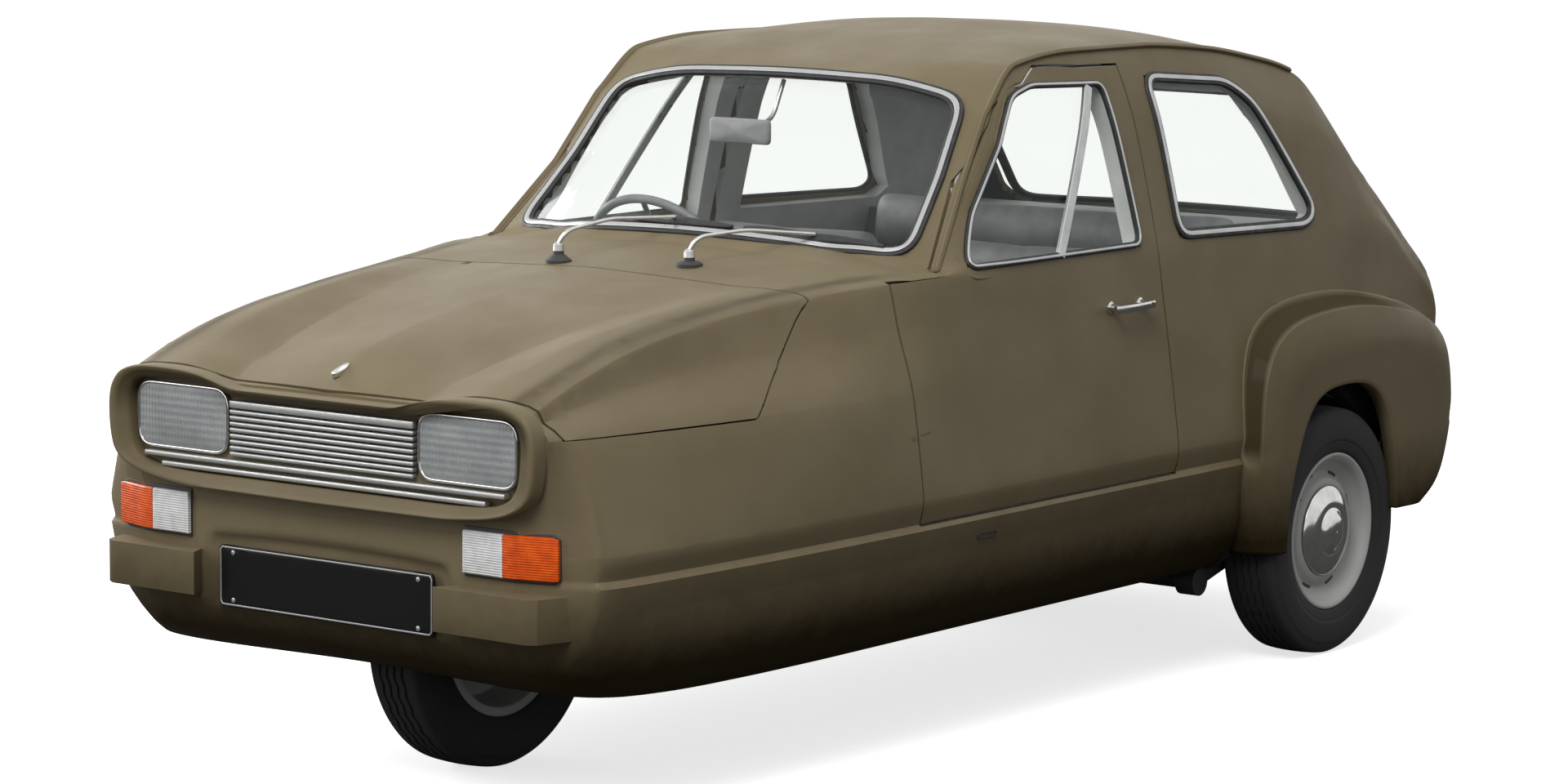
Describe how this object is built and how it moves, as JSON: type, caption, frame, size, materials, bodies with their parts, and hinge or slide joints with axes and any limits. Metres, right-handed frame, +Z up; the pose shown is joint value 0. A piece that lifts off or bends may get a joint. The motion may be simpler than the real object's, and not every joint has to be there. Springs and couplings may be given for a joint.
{
  "type": "three wheeled car",
  "caption": "Small two-door three wheeled saloon car with one front wheel, rear engine, opening doors, bonnet and engine lid.",
  "frame": {"origin": "on the ground, at the middle of the overall length and width", "axes": "+X ahead, +Y to the car's left, +Z up"},
  "size_m": [3.075, 1.382, 1.352],
  "materials": {
    "body_paint": "satin",
    "chrome": "polished",
    "glass": "clear",
    "lamp_glass": "frosted",
    "amber": "gloss",
    "red_lens": "gloss",
    "plate_black": "satin",
    "tyre_rubber": "matt",
    "wheel_silver": "painted",
    "vinyl_grey": "satin",
    "inner_grey": "matt",
    "black_plastic": "matt",
    "chassis_black": "painted",
    "engine_metal": "cast"
  },
  "bodies": {
    "body": {"nose_shell": "body_paint", "cabin_shell": "body_paint", "tail_shell": "body_paint", "windscreen": "glass", "rear_window": "glass", "quarter_glass": "glass", "nose_surround": "body_paint", "grille": "chrome", "headlamps": "lamp_glass", "sidelamps": "lamp_glass", "flashers": "amber", "tail_lamps": "red_lens", "front_plate": "plate_black", "bumper_blocks": "body_paint", "wipers": "black_plastic", "front_wheel_well": "inner_grey", "rear_wheel_wells": "inner_grey", "bulkhead": "inner_grey", "rear_panel": "inner_grey", "chassis": "chassis_black", "engine_block": "engine_metal", "transaxle": "engine_metal", "exhaust": "chassis_black", "rear_arms": "chassis_black", "front_carrier": "chassis_black", "dashboard": "black_plastic", "steering_column": "black_plastic", "front_seats": "vinyl_grey", "seat_frames": "chassis_black", "rear_seat": "vinyl_grey", "interior_mirror": "black_plastic", "controls": "black_plastic"},
    "front_fork": {"front_fork": "chassis_black"},
    "front_wheel": {"front_tyre": "tyre_rubber", "front_rim": "wheel_silver", "front_hubcap": "chrome"},
    "rear_wheel_left": {"rear_left_tyre": "tyre_rubber", "rear_left_rim": "wheel_silver", "rear_left_hubcap": "chrome"},
    "rear_wheel_right": {"rear_right_tyre": "tyre_rubber", "rear_right_rim": "wheel_silver", "rear_right_hubcap": "chrome"},
    "steering_wheel": {"steering_wheel": "black_plastic"},
    "door_left": {"door_left": "body_paint", "door_glass_left": "glass", "door_trim_left": "chrome"},
    "door_right": {"door_right": "body_paint", "door_glass_right": "glass", "door_trim_right": "chrome"},
    "bonnet": {"bonnet": "body_paint", "bonnet_catch": "chrome"},
    "engine_lid": {"engine_lid": "body_paint", "rear_plate": "plate_black"}
  },
  "joints": [
    {"name": "front_steer", "type": "hinge", "parent": "body", "child": "front_fork", "pos_m": [1.0635, 0, 0.266], "axis": [0, 0, 1], "range_deg": [-35, 35]},
    {"name": "front_wheel_spin", "type": "hinge", "parent": "front_fork", "child": "front_wheel", "pos_m": [1.0635, 0, 0.266], "axis": [0, 1, 0], "continuous": true},
    {"name": "rear_wheel_left_spin", "type": "hinge", "parent": "body", "child": "rear_wheel_left", "pos_m": [-0.9435, 0.608, 0.266], "axis": [0, 1, 0], "continuous": true},
    {"name": "rear_wheel_right_spin", "type": "hinge", "parent": "body", "child": "rear_wheel_right", "pos_m": [-0.9435, -0.608, 0.266], "axis": [0, 1, 0], "continuous": true},
    {"name": "steering_wheel_turn", "type": "hinge", "parent": "body", "child": "steering_wheel", "pos_m": [0.1115, -0.313, 0.83], "axis": [-0.866, 0, 0.5], "range_deg": [-290, 290]},
    {"name": "door_left_hinge", "type": "hinge", "parent": "body", "child": "door_left", "pos_m": [0.5505, 0.66, 0.6], "axis": [0, 0, -1], "range_deg": [0, 65]},
    {"name": "door_right_hinge", "type": "hinge", "parent": "body", "child": "door_right", "pos_m": [0.5505, -0.66, 0.6], "axis": [0, 0, 1], "range_deg": [0, 65]},
    {"name": "bonnet_hinge", "type": "hinge", "parent": "body", "child": "bonnet", "pos_m": [0.7535, 0, 0.923], "axis": [0, -1, 0], "range_deg": [0, 50]},
    {"name": "engine_lid_hinge", "type": "hinge", "parent": "body", "child": "engine_lid", "pos_m": [-1.4375, 0, 0.853], "axis": [0, 1, 0], "range_deg": [0, 65]}
  ],
  "couplings": [
    {"joint": "steering_wheel_turn", "follows": "front_steer", "ratio": 8}
  ]
}
